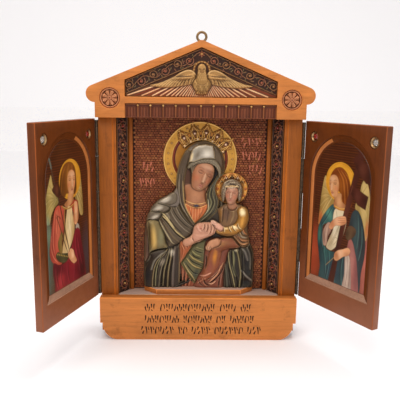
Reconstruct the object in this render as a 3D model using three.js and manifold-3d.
// Triptych altarpiece: a gabled wooden case with a cast mother-and-child relief in its
// niche and two hinged doors that carry painted panels. Millimetres, +Z up.
// The origin is the middle of the underside; -Y is the front.

import * as THREE from "three";
import { mergeVertices } from "three/addons/utils/BufferGeometryUtils.js";
import Module from "manifold-3d";

const wasm = await Module();
wasm.setup();

// ---------------------------------------------------------------- driving dimensions

const CASE_HALF = 150; // half the width over the stiles
const FRONT_Y = -30; // front of the base board
const FACE_Y = -15; // front of the stiles
const BEAD_Y = 8.5; // front of the inner beads
const WALL_Y = 14; // front of the niche panel
const BACK_Y = 30; // back of the case
const GAP = 0.3; // clearance between neighbouring pieces

const FLOOR_Z = 68; // niche floor and ledge
const CAP_Z = 340.2; // underside of the pediment
const SIDE_FOOT_Z = 9; // lower end of the case sides

const ROOF_SLOPE = THREE.MathUtils.degToRad(22.4);
const EAR_X = 152;
const EAR_Z = 373.9;
const EAR_R = 12.3;
const APEX_R = 7;
const PEDIMENT_FRONT_Y = -29.1;
const WINDOW_HALF = 109.3;
const BAR_LOW_Z = 360.9;
const BAR_HIGH_Z = 370.05;
const WINDOW_SIDE_Z = 393.5;
const WINDOW_APEX_Z = 439.9;
const ROSETTE_X = 130.6;
const ROSETTE_Z = 367.9;
const ROSETTE_R = 14.6;

const BASE_HALF = 151.1;
const BASE_STEP_Z = 27;
const BASE_STEP_HALF = 146.6;
const BASE_CORNER_R = 24;

const STILE_INNER = 124.3;
const BEAD_INNER = 102.4;
const BEAD_OUTER = 109.1;
const STRIP_OUTER = 123.9;
const STRIP_INNER = 109.4;
const SCROLL_COUNT = 10;

const DOOR_LOW_Z = 68.8;
const DOOR_HIGH_Z = 338.2;
const DOOR_THICK = 11.4;
const DOOR_START = 3.1; // from the hinge axis to the door's edge
const DOOR_END = 152.1; // from the hinge axis to the door's free edge
const PIN_X = 152.6;
const PIN_Y = -15.25;
const LEFT_OPEN = THREE.MathUtils.degToRad(108.96); // how far the left door stands open
const RIGHT_OPEN = THREE.MathUtils.degToRad(119.86);

const ARCH_CENTRE = 78.5; // from the hinge axis
const ARCH_HALF = 61.5;
const ARCH_LOW_Z = 102;
const ARCH_SPRING_Z = 261;
const MOULDING = 9; // width of the moulding round the picture
const PICTURE_DEPTH = 2.6;
const GEM_FROM_PIN = [22.6, 133.6];
const GEM_Z = 316.5;
const GEM_BORE = 8;

const NIMBUS_X = 0.4;
const NIMBUS_Z = 277.5;
const NIMBUS_R = 56.7;
const PLINTH_TOP_Z = 76;
const FIGURE_FOOT_Z = 76.3;
const CHILD_HALO = { x: 48.5, z: 234.6, radius: 24.5 };

// ---------------------------------------------------------------- finishes

function finish(color, roughness, metalness = 0) {
  return new THREE.MeshStandardMaterial({ color, roughness, metalness });
}

const gableOak = () => finish(0xb8692f, 0.45);
const stileOak = () => finish(0x8a5420, 0.45);
const caseOak = () => finish(0x6e4420, 0.6);
const doorOak = () => finish(0x5a2a14, 0.4);
const carvedPlaster = () => finish(0x4a2c22, 0.55);
const friezePlaster = () => finish(0x7a5040, 0.55);
const mosaicPlaster = () => finish(0x6b3324, 0.6);
const giltPlaster = () => finish(0xc28a34, 0.35, 0.6);
const paintedPlaster = () => finish(0x5c5638, 0.45);
const roundelPlaster = () => finish(0x9a5a3c, 0.55);
const paintedPicture = () => finish(0x5a2618, 0.5);
const agedBrass = () => finish(0x6e5a34, 0.35, 0.9);
const redPaste = () => finish(0x9c1f3c, 0.1);
const clearPaste = () => finish(0xcfc6b4, 0.05);

// ---------------------------------------------------------------- helpers

function solidOf(geometry) {
  const bare = geometry.clone();
  bare.deleteAttribute("normal");
  bare.deleteAttribute("uv");
  const merged = mergeVertices(bare, 1e-3);
  return new wasm.Manifold(new wasm.Mesh({
    numProp: 3,
    vertProperties: new Float32Array(merged.attributes.position.array),
    triVerts: new Uint32Array(merged.index.array),
  }));
}

function geometryOf(solid) {
  const mesh = solid.getMesh();
  const geometry = new THREE.BufferGeometry();
  geometry.setAttribute("position", new THREE.BufferAttribute(mesh.vertProperties, 3));
  geometry.setIndex(new THREE.BufferAttribute(mesh.triVerts, 1));
  return geometry;
}

function joined(...geometries) {
  return geometryOf(geometries.map(solidOf).reduce((whole, next) => whole.add(next)));
}

function cut(geometry, ...tools) {
  return geometryOf(tools.map(solidOf).reduce((rest, tool) => rest.subtract(tool), solidOf(geometry)));
}

function block(x0, x1, y0, y1, z0, z1) {
  const box = new THREE.BoxGeometry(x1 - x0, y1 - y0, z1 - z0);
  return box.translate((x0 + x1) / 2, (y0 + y1) / 2, (z0 + z1) / 2);
}

// An outline drawn in X and Z, given a thickness from yFront back to yBack.
function board(outline, yFront, yBack, curveSegments = 10) {
  const options = { depth: yBack - yFront, bevelEnabled: false, curveSegments };
  return new THREE.ExtrudeGeometry(outline, options).rotateX(Math.PI / 2).translate(0, yBack, 0);
}

// An outline drawn in X and Y, standing from zLow to zHigh.
function post(points, zLow, zHigh) {
  const outline = polygon(points);
  const options = { depth: zHigh - zLow, bevelEnabled: false };
  return new THREE.ExtrudeGeometry(outline, options).translate(0, 0, zLow);
}

function polygon(points) {
  return new THREE.Shape(points.map(([x, y]) => new THREE.Vector2(x, y)));
}

function mirroredPoints(points, side) {
  const turned = points.map(([x, y]) => [side * x, y]);
  return side < 0 ? turned.reverse() : turned;
}

function ball(radius, x, y, z, wide = 8, high = 5) {
  return new THREE.SphereGeometry(radius, wide, high).translate(x, y, z);
}

// A profile of [radius, height] pairs turned about an axis that points to the front.
function turned(profile, segments, x, y, z) {
  const points = profile.map(([radius, height]) => new THREE.Vector2(radius, height));
  return new THREE.LatheGeometry(points, segments).rotateX(Math.PI).translate(x, y, z);
}

const root = new THREE.Group();

function place(name, geometry, material, group = root) {
  const mesh = new THREE.Mesh(geometry, material);
  mesh.name = name;
  group.add(mesh);
  return mesh;
}

// ---------------------------------------------------------------- case

// The roof line is tangent to the round ears at the eaves.
const ROOF_OFFSET = EAR_X * Math.sin(ROOF_SLOPE) + EAR_Z * Math.cos(ROOF_SLOPE) + EAR_R;

function roofZ(x, inset) {
  return (ROOF_OFFSET - inset - Math.abs(x) * Math.sin(ROOF_SLOPE)) / Math.cos(ROOF_SLOPE);
}

function baseOutline(half, stepHalf, stepZ, topZ, radius) {
  const shape = new THREE.Shape();
  shape.moveTo(-half, topZ);
  shape.lineTo(-half, stepZ);
  shape.lineTo(-stepHalf, stepZ);
  shape.absarc(-stepHalf + radius, radius, radius, Math.PI, 1.5 * Math.PI, false);
  shape.absarc(stepHalf - radius, radius, radius, 1.5 * Math.PI, 2 * Math.PI, false);
  shape.lineTo(stepHalf, stepZ);
  shape.lineTo(half, stepZ);
  shape.lineTo(half, topZ);
  return shape;
}

function backOutline() {
  const shape = new THREE.Shape();
  const half = CASE_HALF - 0.5;
  const radius = 20;
  shape.moveTo(-half + radius, 0);
  shape.lineTo(half - radius, 0);
  shape.absarc(half - radius, radius, radius, 1.5 * Math.PI, 2 * Math.PI, false);
  shape.lineTo(half, roofZ(half, 2.5));
  shape.lineTo(0, roofZ(0, 2.5));
  shape.lineTo(-half, roofZ(half, 2.5));
  shape.absarc(-half + radius, radius, radius, Math.PI, 1.5 * Math.PI, false);
  return shape;
}

function buildCase() {
  const backFront = 22;
  const behindFace = FACE_Y + GAP;
  const base = baseOutline(BASE_HALF, BASE_STEP_HALF, BASE_STEP_Z, FLOOR_Z, BASE_CORNER_R);
  place("base_board", board(base, FRONT_Y, FACE_Y - GAP, 8), gableOak());
  const floor = block(-124, 124, behindFace, backFront - GAP, FLOOR_Z - 8, FLOOR_Z);
  place("niche_floor", floor, gableOak());
  const bottomHalf = BASE_STEP_HALF - BASE_CORNER_R - 2;
  place("bottom_board", block(-bottomHalf, bottomHalf, behindFace, backFront - GAP, 0, 8), caseOak());
  const ceiling = block(-137.6, 137.6, behindFace, backFront - GAP, CAP_Z + 0.2, CAP_Z + 6);
  place("niche_ceiling", ceiling, caseOak());
  const panel = block(-123.5, 123.5, WALL_Y, backFront - GAP, FLOOR_Z + GAP, CAP_Z - GAP);
  place("niche_panel", panel, mosaicPlaster());
  place("back_board", board(backOutline(), backFront, BACK_Y, 6), caseOak());

  for (const [word, side] of [["left", -1], ["right", 1]]) {
    place(`stile_${word}`, buildStile(side), stileOak());
    const foot = SIDE_FOOT_Z;
    const sidePoints = [[138, -2.7], [CASE_HALF, -2.7], [CASE_HALF, backFront - GAP], [138, backFront - GAP]];
    const sideHigh = roofZ(CASE_HALF, 10.5) - 2 * GAP;
    place(`case_side_${word}`, post(mirroredPoints(sidePoints, side), foot, sideHigh), caseOak());
    place(`roof_board_${word}`, buildRoofBoard(side, behindFace, backFront - GAP), caseOak());
    place(`inner_bead_${word}`, buildInnerBead(side), stileOak());
    place(`carved_strip_${word}`, buildCarvedStrip(side), carvedPlaster());
  }
}

function buildStile(side) {
  const grooveX = 128.8;
  const grooveHalf = 0.7;
  const section = [
    [STILE_INNER, FACE_Y],
    [grooveX - grooveHalf, FACE_Y],
    [grooveX, FACE_Y + 1.2],
    [grooveX + grooveHalf, FACE_Y],
    [CASE_HALF, FACE_Y],
    [CASE_HALF, -3],
    [STILE_INNER, -3],
  ];
  return post(mirroredPoints(section, side), SIDE_FOOT_Z, CAP_Z - GAP);
}

function buildRoofBoard(side, yFront, yBack) {
  const ridge = 0.2;
  const eave = CASE_HALF;
  const points = [
    [ridge, roofZ(ridge, 10.5)],
    [eave, roofZ(eave, 10.5)],
    [eave, roofZ(eave, 2.5)],
    [ridge, roofZ(ridge, 2.5)],
  ];
  return board(polygon(mirroredPoints(points, side)), yFront, yBack);
}

function buildInnerBead(side) {
  const middle = (BEAD_INNER + BEAD_OUTER) / 2;
  const half = (BEAD_OUTER - BEAD_INNER) / 2;
  const back = WALL_Y - GAP;
  const section = [[BEAD_OUTER, back], [BEAD_INNER, back]];
  const steps = 6;
  for (let i = 0; i <= steps; i += 1) {
    const turn = Math.PI * (1 - i / steps);
    section.push([middle + half * Math.cos(turn), BEAD_Y + 2 - 2 * Math.sin(turn)]);
  }
  return post(mirroredPoints(section, side), FLOOR_Z + GAP, CAP_Z - GAP);
}

// A splayed strip with a run of ring scrolls, each round a bead.
function buildCarvedStrip(side) {
  const outer = [STRIP_OUTER, -10];
  const inner = [STRIP_INNER, 7.5];
  const back = WALL_Y - GAP;
  const section = [outer, [STRIP_OUTER, back], [STRIP_INNER, back], inner];
  const low = FLOOR_Z + GAP;
  const high = CAP_Z - GAP;
  const pieces = [post(mirroredPoints(section.reverse(), side), low, high)];
  const pitch = (high - low) / SCROLL_COUNT;
  const turn = Math.atan2(inner[1] - outer[1], outer[0] - inner[0]); // of the face, from the wall
  for (let i = 0; i < SCROLL_COUNT; i += 1) {
    const z = low + pitch * (i + 0.5);
    const ring = new THREE.TorusGeometry(6.4, 1.6, 3, 7);
    const bead = new THREE.SphereGeometry(2.4, 5, 3);
    for (const part of [ring, bead]) {
      part.rotateX(Math.PI / 2).rotateZ(-side * turn);
      part.translate(side * (STRIP_OUTER + STRIP_INNER) / 2, -1.55, z);
      pieces.push(part);
    }
  }
  return joined(...pieces);
}

// ---------------------------------------------------------------- pediment

function pedimentOutline() {
  const shape = new THREE.Shape();
  const up = Math.PI / 2;
  const apexCentre = roofZ(0, 0) - APEX_R / Math.cos(ROOF_SLOPE);
  shape.moveTo(-EAR_X, CAP_Z);
  shape.lineTo(-WINDOW_HALF, CAP_Z);
  shape.lineTo(-WINDOW_HALF, BAR_LOW_Z);
  shape.lineTo(WINDOW_HALF, BAR_LOW_Z);
  shape.lineTo(WINDOW_HALF, CAP_Z);
  shape.lineTo(EAR_X, CAP_Z);
  shape.absarc(EAR_X, EAR_Z, EAR_R, -up, up - ROOF_SLOPE, false);
  shape.absarc(0, apexCentre, APEX_R, up - ROOF_SLOPE, up + ROOF_SLOPE, false);
  shape.absarc(-EAR_X, EAR_Z, EAR_R, up + ROOF_SLOPE, 3 * up, false);
  shape.holes.push(windowOutline(0));
  return shape;
}

function windowOutline(inset) {
  const half = WINDOW_HALF - inset;
  const drop = inset * 1.1;
  return polygon([
    [-half, BAR_HIGH_Z + inset],
    [half, BAR_HIGH_Z + inset],
    [half, WINDOW_SIDE_Z - inset * 0.6],
    [0, WINDOW_APEX_Z - drop],
    [-half, WINDOW_SIDE_Z - inset * 0.6],
  ]);
}

function buildPediment() {
  const back = FACE_Y;
  const bores = [-1, 1].map((side) => turned(
    [[0, -3], [ROSETTE_R + 0.4, -3], [ROSETTE_R + 0.4, 3], [0, 3]], 24,
    side * ROSETTE_X, PEDIMENT_FRONT_Y, ROSETTE_Z,
  ));
  const plank = board(pedimentOutline(), PEDIMENT_FRONT_Y, back, 10);
  place("pediment_board", cut(plank, ...bores), gableOak());
  for (const [word, side] of [["left", -1], ["right", 1]]) {
    place(`rosette_${word}`, buildRosette(side * ROSETTE_X), roundelPlaster());
  }
  place("frieze", buildFrieze(), friezePlaster());
  place("tympanum_relief", buildTympanum(), carvedPlaster());
}

// An eight-leaved roundel with a ring and a centre boss.
function buildRosette(x) {
  const leaves = 8;
  const seat = PEDIMENT_FRONT_Y + 2.7;
  const star = new THREE.Shape();
  for (let i = 0; i < leaves * 4; i += 1) {
    const turn = (Math.PI * 2 * i) / (leaves * 4);
    const reach = 9.6 + 2.6 * Math.cos(leaves * turn);
    const point = [x + reach * Math.sin(turn), ROSETTE_Z + reach * Math.cos(turn)];
    star[i === 0 ? "moveTo" : "lineTo"](...point);
  }
  const dish = [
    [0, -1.4], [ROSETTE_R, -1.4], [ROSETTE_R, 1.6], [ROSETTE_R - 1.6, 1.6], [ROSETTE_R - 2.2, 0.2], [0, 0.2],
  ];
  const boss = [[0, -1], [3, -1], [3, 1.6], [1.6, 2.4], [0, 2.4]];
  return joined(
    turned(dish, 18, x, seat - 1.4, ROSETTE_Z),
    board(star, seat - 3, seat - 1),
    turned(boss, 10, x, seat - 1.4, ROSETTE_Z),
  );
}

// Twelve upright panels with round heads, with half beads between the heads.
function buildFrieze() {
  const panels = 12;
  const half = WINDOW_HALF - 0.4;
  const low = CAP_Z + 0.2;
  const high = BAR_LOW_Z - GAP;
  const pitch = (2 * half) / panels;
  const face = PEDIMENT_FRONT_Y + 4;
  const hollows = [];
  const beads = [];
  for (let i = 0; i < panels; i += 1) {
    const centre = -half + pitch * (i + 0.5);
    const reach = pitch / 2 - 1.6;
    const hollow = new THREE.Shape();
    hollow.moveTo(centre - reach, low + 1.5);
    hollow.lineTo(centre + reach, low + 1.5);
    hollow.absarc(centre, high - 2 - reach, reach, 0, Math.PI, false);
    hollows.push(board(hollow, face - 1, face + 2, 3));
    if (i > 0) beads.push(ball(2.6, centre - pitch / 2, face, high - 2.9, 5, 3));
  }
  const slab = block(-half, half, face, FACE_Y - GAP, low, high);
  return joined(cut(slab, ...hollows), ...beads);
}

// ---------------------------------------------------------------- cast relief from rounded forms

function ellipsoid(centre, radii, tilt = 0) {
  const cos = Math.cos(tilt);
  const sin = Math.sin(tilt);
  return (x, y, z) => {
    const px = x - centre[0];
    const pz = z - centre[2];
    const a = (px * cos - pz * sin) / radii[0];
    const b = (y - centre[1]) / radii[1];
    const c = (px * sin + pz * cos) / radii[2];
    const far = Math.hypot(a, b, c);
    const steep = Math.hypot(a / radii[0], b / radii[1], c / radii[2]);
    return steep < 1e-9 ? -Math.min(...radii) : (far * (far - 1)) / steep;
  };
}

function limb(from, to, startRadius, endRadius, flat = 1) {
  const along = to.map((value, i) => value - from[i]);
  const length2 = along.reduce((sum, value) => sum + value * value, 0);
  return (x, y, z) => {
    const p = [x - from[0], y - from[1], z - from[2]];
    const t = Math.min(1, Math.max(0, p.reduce((sum, value, i) => sum + value * along[i], 0) / length2));
    const away = p.map((value, i) => value - along[i] * t);
    return Math.hypot(away[0], away[1] / flat, away[2]) - (startRadius + (endRadius - startRadius) * t);
  };
}

function blended(forms, soft) {
  return (x, y, z) => forms.reduce((near, form) => {
    const next = form(x, y, z);
    const mix = Math.max(0, Math.min(1, 0.5 + (0.5 * (next - near)) / soft));
    return next + (near - next) * mix - soft * mix * (1 - mix);
  }, 1e3);
}

// Fills the lattice corners where two bodies would meet only along an edge.
function closePinches(value, count, at) {
  const step = [[1, 0, 0], [0, 1, 0], [0, 0, 1]];
  let changed = true;
  while (changed) {
    changed = false;
    for (let k = 0; k < count[2] - 1; k += 1) {
      for (let j = 0; j < count[1] - 1; j += 1) {
        for (let i = 0; i < count[0] - 1; i += 1) {
          for (let axis = 0; axis < 3; axis += 1) {
            const [u, v] = [step[(axis + 1) % 3], step[(axis + 2) % 3]];
            const ring = [[0, 0], [1, 0], [1, 1], [0, 1]].map(([m, n]) => at(
              i + m * u[0] + n * v[0], j + m * u[1] + n * v[1], k + m * u[2] + n * v[2],
            ));
            const [a, b, c, d] = ring.map((index) => value[index] < 0);
            if (a !== c || b !== d || a === b) continue;
            value[a ? ring[1] : ring[0]] = -0.5;
            changed = true;
          }
        }
      }
    }
  }
}

// Surface of a field (negative inside), one point in each crossed cell of the lattice.
function castSurface(field, low, high, cell) {
  const count = low.map((start, i) => Math.ceil((high[i] - start) / cell) + 1);
  const at = (i, j, k) => i + count[0] * (j + count[1] * k);
  const spot = (i, j, k) => [low[0] + i * cell, low[1] + j * cell, low[2] + k * cell];
  const value = new Float64Array(count[0] * count[1] * count[2]);
  for (let k = 0; k < count[2]; k += 1) {
    for (let j = 0; j < count[1]; j += 1) {
      for (let i = 0; i < count[0]; i += 1) value[at(i, j, k)] = field(...spot(i, j, k));
    }
  }
  closePinches(value, count, at);
  const points = [];
  const pointOf = new Int32Array(value.length).fill(-1);
  const corner = [0, 1, 2, 3, 4, 5, 6, 7].map((n) => [n & 1, (n >> 1) & 1, (n >> 2) & 1]);
  for (let k = 0; k < count[2] - 1; k += 1) {
    for (let j = 0; j < count[1] - 1; j += 1) {
      for (let i = 0; i < count[0] - 1; i += 1) {
        const sum = [0, 0, 0, 0];
        for (let a = 0; a < 8; a += 1) {
          for (const bit of [1, 2, 4]) {
            if (a & bit) continue;
            const [p, q] = [corner[a], corner[a | bit]];
            const va = value[at(i + p[0], j + p[1], k + p[2])];
            const vb = value[at(i + q[0], j + q[1], k + q[2])];
            if (va < 0 === vb < 0) continue;
            const t = va / (va - vb);
            for (let axis = 0; axis < 3; axis += 1) sum[axis] += p[axis] + t * (q[axis] - p[axis]);
            sum[3] += 1;
          }
        }
        if (sum[3] === 0) continue;
        pointOf[at(i, j, k)] = points.length / 3;
        const base = [i, j, k];
        for (let axis = 0; axis < 3; axis += 1) {
          points.push(low[axis] + (base[axis] + sum[axis] / sum[3]) * cell);
        }
      }
    }
  }
  const faces = [];
  const step = [[1, 0, 0], [0, 1, 0], [0, 0, 1]];
  for (let k = 1; k < count[2] - 1; k += 1) {
    for (let j = 1; j < count[1] - 1; j += 1) {
      for (let i = 1; i < count[0] - 1; i += 1) {
        for (let axis = 0; axis < 3; axis += 1) {
          const [u, v] = [step[(axis + 1) % 3], step[(axis + 2) % 3]];
          const inside = value[at(i, j, k)] < 0;
          const next = value[at(i + step[axis][0], j + step[axis][1], k + step[axis][2])] < 0;
          if (inside === next) continue;
          const ring = [[0, 0], [1, 0], [1, 1], [0, 1]].map(([m, n]) => pointOf[at(
            i - m * u[0] - n * v[0], j - m * u[1] - n * v[1], k - m * u[2] - n * v[2],
          )]);
          if (!inside) ring.reverse();
          faces.push(ring[0], ring[1], ring[2], ring[0], ring[2], ring[3]);
        }
      }
    }
  }
  const geometry = new THREE.BufferGeometry();
  geometry.setAttribute("position", new THREE.Float32BufferAttribute(points, 3));
  geometry.setIndex(faces);
  return geometry;
}

// ---------------------------------------------------------------- tympanum

// Backing plate with a raised rake band of scrolls, a fan of rays and a dove.
function buildTympanum() {
  const face = PEDIMENT_FRONT_Y + 6.5;
  const back = FACE_Y - GAP;
  const pieces = [board(windowOutline(0.4), face, back)];
  for (const side of [-1, 1]) {
    for (let i = 0; i < 6; i += 1) {
      const x = side * (10 + 18.2 * i);
      const z = WINDOW_APEX_Z - Math.abs(x) * 0.4245 - 11;
      const ring = new THREE.TorusGeometry(5.6, 1.6, 3, 7).rotateX(Math.PI / 2);
      pieces.push(ring.translate(x, face, z));
    }
  }
  const rays = 22;
  for (let i = 0; i < rays; i += 1) {
    const turn = Math.PI * (0.06 + (0.88 * i) / (rays - 1));
    if (Math.abs(Math.cos(turn)) < 0.2) continue;
    const end = Math.min(84 / Math.abs(Math.cos(turn)), 9 / Math.sin(turn)) + 18;
    const foot = BAR_HIGH_Z + 0.6;
    const points = [
      [18 * Math.cos(turn) - 1, foot],
      [18 * Math.cos(turn) + 1, foot],
      [end * Math.cos(turn), foot + Math.min(9, end * Math.sin(turn))],
    ];
    pieces.push(board(polygon(points), face - 1.2, face + 1));
  }
  return joined(...pieces, buildDove(face));
}

function buildDove(face) {
  const forms = [
    ellipsoid([0.6, face - 2.5, 388], [12.5, 6.5, 11.5]),
    ellipsoid([0.6, face - 4.5, 407], [6, 5, 8]),
    ellipsoid([0.6, face - 5, 398], [7, 5, 8]),
  ];
  for (const side of [-1, 1]) {
    forms.push(ellipsoid([0.6 + side * 24, face - 2, 397], [19, 4, 11], side * 0.35));
    forms.push(ellipsoid([0.6 + side * 46, face - 1, 391.5], [30, 3.4, 5.5], side * 0.38));
    forms.push(ellipsoid([0.6 + side * 6, face - 2.5, 376], [3.5, 3.5, 3]));
  }
  const field = blended(forms, 3);
  return castSurface(field, [-88, face - 18, 363], [90, face + 12, 430], 5.6);
}

// ---------------------------------------------------------------- niche

// Flat ring nimbus with a pointed crown in front of it, behind the mother's head.
function buildNimbus() {
  const seat = WALL_Y - GAP;
  const profile = [
    [0, 0], [NIMBUS_R, 0], [NIMBUS_R, 1.6], [NIMBUS_R - 1.4, 2.4], [NIMBUS_R - 12, 2.4],
    [NIMBUS_R - 14, 1.2], [0, 1.2],
  ];
  const pieces = [turned(profile, 28, NIMBUS_X, seat, NIMBUS_Z)];
  const points = 5;
  for (let i = 0; i < points; i += 1) {
    const turn = THREE.MathUtils.degToRad(-44 + (88 * i) / (points - 1) + 8);
    const reach = (r, swing) => [
      NIMBUS_X + 2 + r * Math.sin(turn + swing), NIMBUS_Z - 8 + r * Math.cos(turn + swing),
    ];
    const petal = polygon([reach(30, 0.24), reach(47, 0.2), reach(58, 0), reach(47, -0.2), reach(30, -0.24)]);
    pieces.push(board(petal, seat - 3.6, seat - 0.6));
  }
  return joined(...pieces);
}

// Positions are x, depth in front of the niche wall, z.
function atDepth([x, depth, z]) {
  return [x, WALL_Y - depth, z];
}

const round = (centre, radii, tilt) => ellipsoid(atDepth(centre), radii, tilt);
const arm = (from, to, r0, r1, flat) => limb(atDepth(from), atDepth(to), r0, r1, flat);

function motherForms() {
  const headTilt = 0.26;
  return [
    round([3, 9, 263], [34, 16, 42], 0.1), // veil over the head
    round([5, 17, 254], [19, 10, 29], headTilt), // face
    round([10, 4, 232], [30, 9, 42]), // veil behind the neck
    arm([1, 12, 240], [-4, 12, 212], 13, 13), // neck
    arm([-24, 9, 250], [-26, 9, 205], 9, 12), // veil falling on the shoulders
    arm([33, 9, 262], [34, 8, 200], 9, 14),
    round([-34, 6, 192], [42, 15, 25], -0.5), // shoulders
    round([30, 6, 192], [30, 14, 25], 0.5),
    round([-18, 8, 165], [52, 15, 40]), // breast
    round([-10, 4, 120], [68, 15, 62]), // lap
    round([-61, 10, 158], [21, 14, 40], -0.12), // upper arm
    round([-57, 12, 112], [27, 15, 30]), // wide sleeve
    round([-56, 10, 88], [27, 16, 34]),
    arm([-34, 15, 126], [-4, 18, 156], 11, 9), // forearm
    round([7, 20, 168], [15, 8, 11], -0.5), // her hand
    round([24, 19, 171], [13, 8, 12], 0.3), // the child's hand in hers
    round([66, 8, 118], [19, 15, 34]), // cloak over the knee
    round([58, 8, 92], [25, 16, 36]),
    round([20, 9, 95], [34, 14, 30]),
    round([12, 5, 150], [56, 13, 62]),
    round([14, 5, 212], [34, 12, 40]), // cloak between the two
  ];
}

function childForms() {
  return [
    round([48.4, 17, 232], [14.5, 10, 17], -0.05), // head
    arm([49, 14, 220], [50, 12, 200], 7, 12), // neck
    round([52, 12, 184], [21, 13, 24]), // body
    round([66, 13, 180], [9, 11, 22]), // sleeve
    arm([66, 17, 168], [32, 20, 166], 9, 7),
    round([62, 13, 154], [16, 13, 14]), // girdle
    arm([54, 16, 146], [22, 18, 140], 12, 10), // thighs
    arm([26, 17, 142], [20, 14, 92], 13, 15), // robe over the legs
    round([8, 14, 84], [14, 12, 10]), // hem and foot
  ];
}

// Shallow folds that run down the cloak and fan from the elbow.
function drapery(x, y, z) {
  const fan = Math.atan2(z - 150, x + 30);
  const lower = 1 / (1 + Math.exp((z - 150) / 14));
  return lower * 1.3 * Math.sin(x * 0.42 + 3 * fan) + (1 - lower) * 0.8 * Math.sin((x - z) * 0.3);
}

function buildMotherAndChild() {
  const cloth = blended([...motherForms(), ...childForms()], 4);
  const halo = CHILD_HALO;
  const disc = (x, y, z) => Math.max(
    Math.hypot(x - halo.x, z - halo.z) - halo.radius, Math.abs(y - (WALL_Y - 9)) - 2.6,
  );
  const field = (x, y, z) => Math.max(
    Math.min(cloth(x, y, z) + drapery(x, y, z), disc(x, y, z)), FIGURE_FOOT_Z - 6 - z,
  );
  const cast = castSurface(field, [-98, -30, 56.3], [102, 35, 322], 7.9);
  const clear = 200;
  return cut(
    cast,
    block(-clear, clear, WALL_Y - 4.4, clear, NIMBUS_Z - 58, clear * 2), // behind the nimbus's front
    block(-clear, clear, WALL_Y - GAP, clear, 0, clear * 2), // behind the wall
    block(-clear, clear, -clear, clear, 0, FIGURE_FOOT_Z), // under the plinth's top
    block(-clear, clear, -clear, FACE_Y + 0.4, 0, clear * 2), // in the doors' way
  );
}

function buildNiche() {
  const front = FACE_Y + 0.6;
  const back = WALL_Y - GAP;
  const section = [[-65.2, front], [65.2, front], [85, 3.3], [85, back], [-85, back], [-85, 3.3]];
  place("plinth", post(section, FLOOR_Z + GAP, PLINTH_TOP_Z), gableOak());
  place("nimbus", buildNimbus(), giltPlaster());
  place("mother_and_child", buildMotherAndChild(), paintedPlaster());
}

// ---------------------------------------------------------------- doors

// Built closed, with the hinge axis at the group's origin; side is +1 where the door
// runs towards +X from its hinge.
function archRing(side, inset, depth) {
  const reach = ARCH_HALF - inset;
  const ring = [[ARCH_CENTRE - reach, ARCH_LOW_Z + inset], [ARCH_CENTRE + reach, ARCH_LOW_Z + inset]];
  const steps = 16;
  for (let i = 0; i <= steps; i += 1) {
    const turn = (Math.PI * i) / steps;
    ring.push([ARCH_CENTRE + reach * Math.cos(turn), ARCH_SPRING_Z + reach * Math.sin(turn)]);
  }
  return ring.map(([across, z]) => [side * across, -depth, z]);
}

// Skin over a stack of like rings, the first one nearest the front, with flat ends.
function stack(rings, side) {
  const count = rings[0].length;
  const flat = rings[0].map(([x, , z]) => new THREE.Vector2(x, z));
  const caps = THREE.ShapeUtils.triangulateShape(side > 0 ? flat : flat.slice().reverse(), []);
  const turnBack = (i) => (side > 0 ? i : count - 1 - i);
  const faces = [];
  const last = (rings.length - 1) * count;
  for (const [a, b, c] of caps) {
    const [p, q, r] = [turnBack(a), turnBack(b), turnBack(c)];
    faces.push([p, r, q], [last + p, last + q, last + r]);
  }
  for (let level = 0; level < rings.length - 1; level += 1) {
    for (let i = 0; i < count; i += 1) {
      const [a, b] = [level * count + i, level * count + ((i + 1) % count)];
      const wall = side > 0 ? [[a, b, b + count], [a, b + count, a + count]]
        : [[a, b + count, b], [a, a + count, b + count]];
      faces.push(...wall);
    }
  }
  const geometry = new THREE.BufferGeometry();
  geometry.setAttribute("position", new THREE.Float32BufferAttribute(rings.flat(2), 3));
  geometry.setIndex(faces.flat());
  return geometry;
}

function buildDoorBoard(side) {
  const inner = 0.25;
  const slab = block(
    ...[side * DOOR_START, side * DOOR_END].sort((a, b) => a - b),
    -inner - DOOR_THICK, -inner, DOOR_LOW_Z, DOOR_HIGH_Z,
  );
  const steps = [
    [0, inner - 2], [0, inner + 0.7], [3, inner + 0.8], [5.6, inner + 1.4],
    [7.6, inner + 2.4], [MOULDING, inner + PICTURE_DEPTH + 0.2], [MOULDING, inner + PICTURE_DEPTH + 2],
  ];
  const recess = stack(steps.map(([inset, depth]) => archRing(side, inset, depth)), side);
  const bores = GEM_FROM_PIN.map((across) => turned(
    [[0, -1], [GEM_BORE, -1], [GEM_BORE, 4], [0, 4]], 16, side * across, -inner, GEM_Z,
  ));
  return cut(slab, recess, ...bores);
}

function buildPicture(side) {
  const front = 0.25 + PICTURE_DEPTH;
  return stack([0, 1.7].map((deep) => archRing(side, MOULDING + GAP, front + deep)), side);
}

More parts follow.
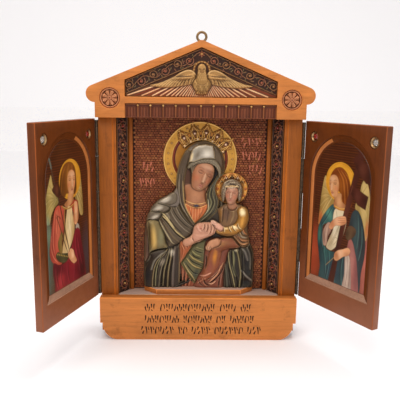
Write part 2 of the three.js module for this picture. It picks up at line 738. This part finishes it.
function buildHinge(word, side, doorGroup, caseGroup) {
  const knuckles = 5;
  const outer = 2.3;
  const bore = 1.2;
  const low = DOOR_LOW_Z + 1;
  const pitch = (DOOR_HIGH_Z - 2 - low) / knuckles;
  const leaves = { door: [], frame: [] };
  for (let i = 0; i < knuckles; i += 1) {
    const [z0, z1] = [low + pitch * i + 0.3, low + pitch * (i + 1) - 0.3];
    const barrel = new THREE.CylinderGeometry(outer, outer, z1 - z0, 8);
    barrel.rotateX(Math.PI / 2).translate(0, 0, (z0 + z1) / 2);
    if (i % 2 === 0) {
      leaves.frame.push(barrel, block(...span(side * 1.5, side * 2.3), 0, 2.8, z0, z1));
    } else {
      leaves.door.push(barrel, block(...span(side * 1.5, side * 2.7), -2.9, 0, z0, z1));
    }
  }
  const [bottom, top] = [low + 0.3, low + pitch * knuckles - 0.3];
  leaves.frame.push(block(...span(side * 1.5, side * 2.3), 2.7, 11, bottom, top));
  leaves.door.push(block(...span(side * 2.2, side * 2.7), -10.9, -2.7, bottom, top));
  const drill = new THREE.CylinderGeometry(bore, bore, top - bottom + 4, 8);
  drill.rotateX(Math.PI / 2).translate(0, 0, (top + bottom) / 2);
  for (const key of ["frame", "door"]) {
    const leaf = cut(joined(...leaves[key]), drill);
    const group = key === "door" ? doorGroup : caseGroup;
    place(`hinge_${key}_leaf_${word}`, leaf, agedBrass(), group);
  }
  const pin = new THREE.CylinderGeometry(0.85, 0.85, top - bottom, 8);
  pin.rotateX(Math.PI / 2).translate(0, 0, (top + bottom) / 2);
  place(`hinge_pin_${word}`, pin, agedBrass(), caseGroup);
}

function span(a, b) {
  return a < b ? [a, b] : [b, a];
}

function buildGems(word, side, group) {
  const seat = -0.25 - 4 + GAP;
  const collar = [[4.8, 0], [7.6, 0], [7.6, 3.2], [6.4, 3.2], [4.8, 1.4], [4.8, 0]];
  const dome = [[0, 0], [4.4, 0], [4.4, 1.2], [3.2, 2.4], [0, 3.1]];
  const places = [["hinge_side", GEM_FROM_PIN[0]], ["free_side", GEM_FROM_PIN[1]]];
  for (const [where, across] of places) {
    const red = where === "hinge_side";
    const inward = (profile) => new THREE.LatheGeometry(
      profile.map(([radius, height]) => new THREE.Vector2(radius, height)), 8,
    ).translate(side * across, seat, GEM_Z);
    place(`gem_collet_${word}_${where}`, inward(collar), agedBrass(), group);
    place(`gem_${word}_${where}`, inward(dome), red ? redPaste() : clearPaste(), group);
  }
}

function buildDoor(word, side, turn) {
  const door = new THREE.Group();
  door.position.set(-side * PIN_X, PIN_Y, 0);
  door.rotation.z = turn;
  const frame = new THREE.Group();
  frame.position.copy(door.position);
  root.add(door, frame);
  place(`door_board_${word}`, buildDoorBoard(side), doorOak(), door);
  place(`door_picture_${word}`, buildPicture(side), paintedPicture(), door);
  buildGems(word, side, door);
  buildHinge(word, side, door, frame);
}

// ---------------------------------------------------------------- hanging ring

function buildHangingRing() {
  const plate = new THREE.Shape();
  const [x, z, radius, eye] = [0.9, 459.4, 8.7, 4.95];
  const tail = 26;
  plate.moveTo(x - 5, z - radius - tail);
  plate.lineTo(x + 5, z - radius - tail);
  plate.absarc(x, z, radius, -Math.PI / 3.4, Math.PI + Math.PI / 3.4, false);
  const hole = new THREE.Path();
  hole.absarc(x, z, eye, 0, 2 * Math.PI, false);
  plate.holes.push(hole);
  place("hanging_ring", board(plate, BACK_Y + GAP, BACK_Y + GAP + 1.6, 8), agedBrass());
}

// ---------------------------------------------------------------- the whole

buildCase();
buildPediment();
buildNiche();
buildDoor("left", 1, -LEFT_OPEN);
buildDoor("right", -1, RIGHT_OPEN);
buildHangingRing();

export default root;
